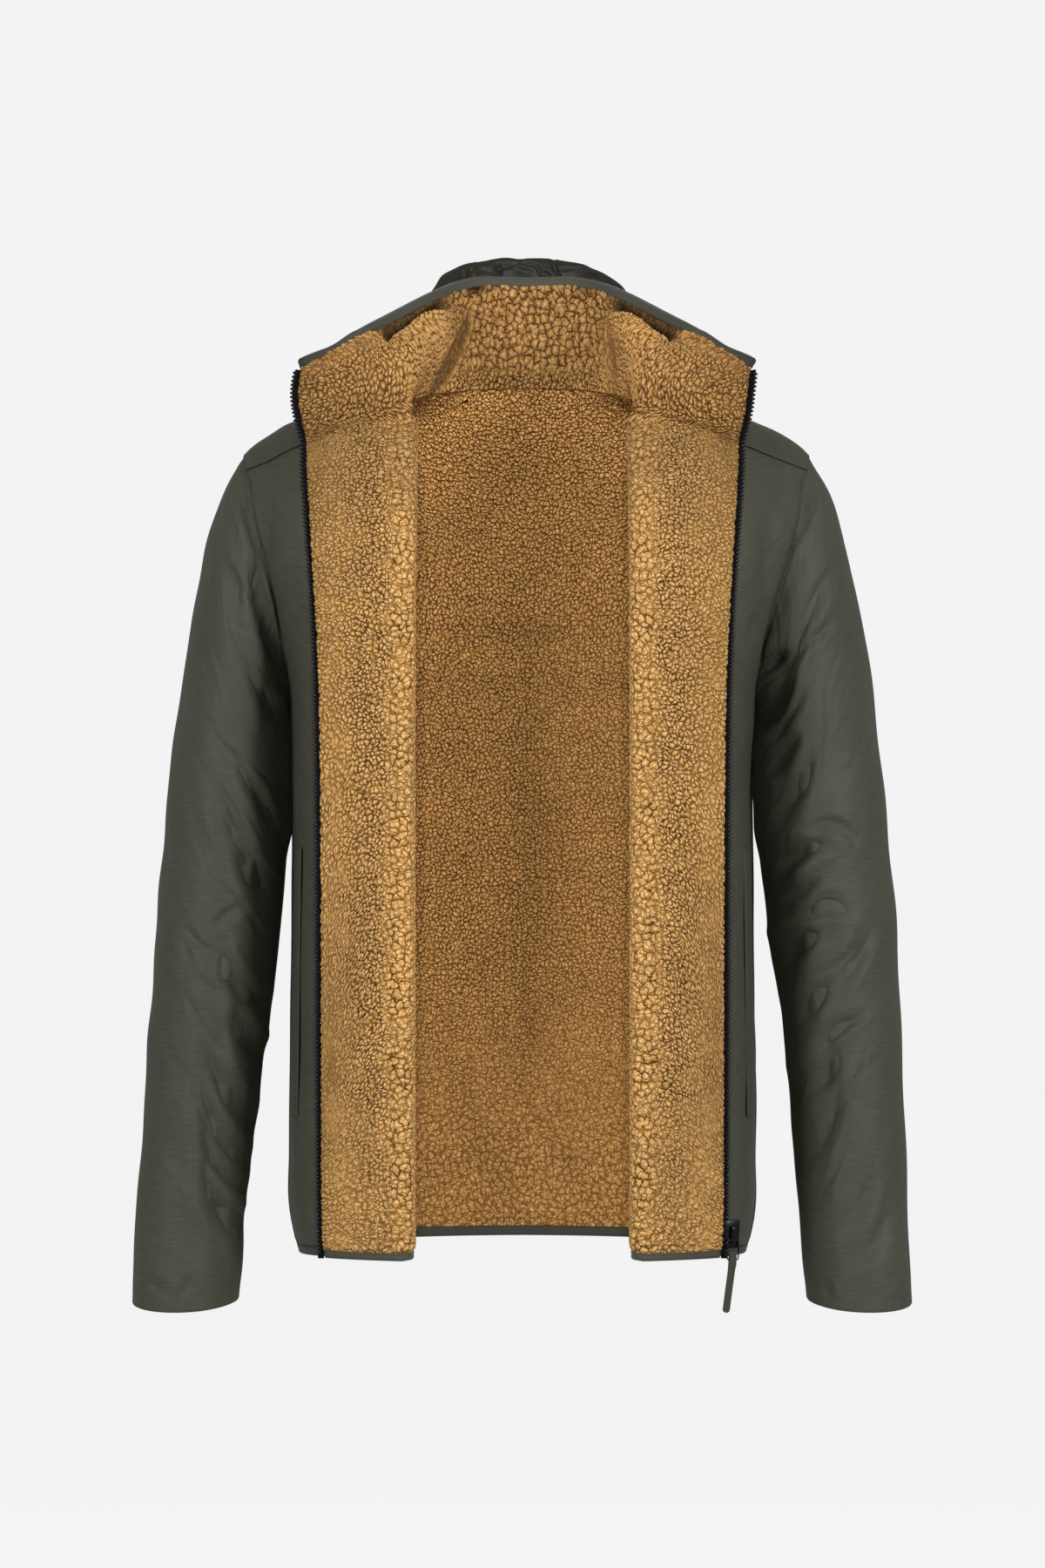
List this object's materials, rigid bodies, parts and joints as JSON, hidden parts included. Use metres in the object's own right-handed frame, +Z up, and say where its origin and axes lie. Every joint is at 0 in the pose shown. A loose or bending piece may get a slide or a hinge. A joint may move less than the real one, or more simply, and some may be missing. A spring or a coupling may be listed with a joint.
{
  "type": "jacket",
  "caption": "Zip-through nylon jacket with a thick pile lining, a stand collar and bound edges, worn open with both fronts turned back.",
  "frame": {"origin": "middle of the neck on the line of the shoulders, where the wearer holds the jacket up", "axes": "+X to the wearer's left, +Y to the wearer's back, +Z up"},
  "size_m": [0.6048, 0.301, 0.8264],
  "materials": {
    "shell_nylon": "dark olive green woven nylon with a soft sheen",
    "pile_lining": "tan curled pile, matte",
    "binding_tape": "grey green tape, matte",
    "zip_plastic": "black moulded teeth on black tape",
    "slider_metal": "black enamel"
  },
  "bodies": {
    "jacket": {"back_hem_binding": "binding_tape", "back_lining": "pile_lining", "back_shell": "shell_nylon", "collar_binding": "binding_tape", "collar_lining": "pile_lining", "collar_roll": "shell_nylon", "collar_shell": "shell_nylon", "left_front_lining": "pile_lining", "left_front_shell": "shell_nylon", "left_hem_binding": "binding_tape", "left_pocket_welt": "shell_nylon", "left_top_sleeve": "shell_nylon", "left_under_sleeve": "shell_nylon", "left_zip_half": "zip_plastic", "right_front_lining": "pile_lining", "right_front_shell": "shell_nylon", "right_hem_binding": "binding_tape", "right_pocket_welt": "shell_nylon", "right_top_sleeve": "shell_nylon", "right_under_sleeve": "shell_nylon", "right_zip_half": "zip_plastic", "zip_slider": "slider_metal", "zip_slider_bridge": "slider_metal"},
    "puller": {"zip_pull_link": "slider_metal", "zip_pull_tab": "binding_tape"}
  },
  "joints": [
    {"name": "puller_swing", "type": "hinge", "parent": "jacket", "child": "puller", "pos_m": [0.15976, -0.12574, -0.63834], "axis": [-0.9535, -0.3013, -0.0029], "range_deg": [-3, 150]}
  ]
}
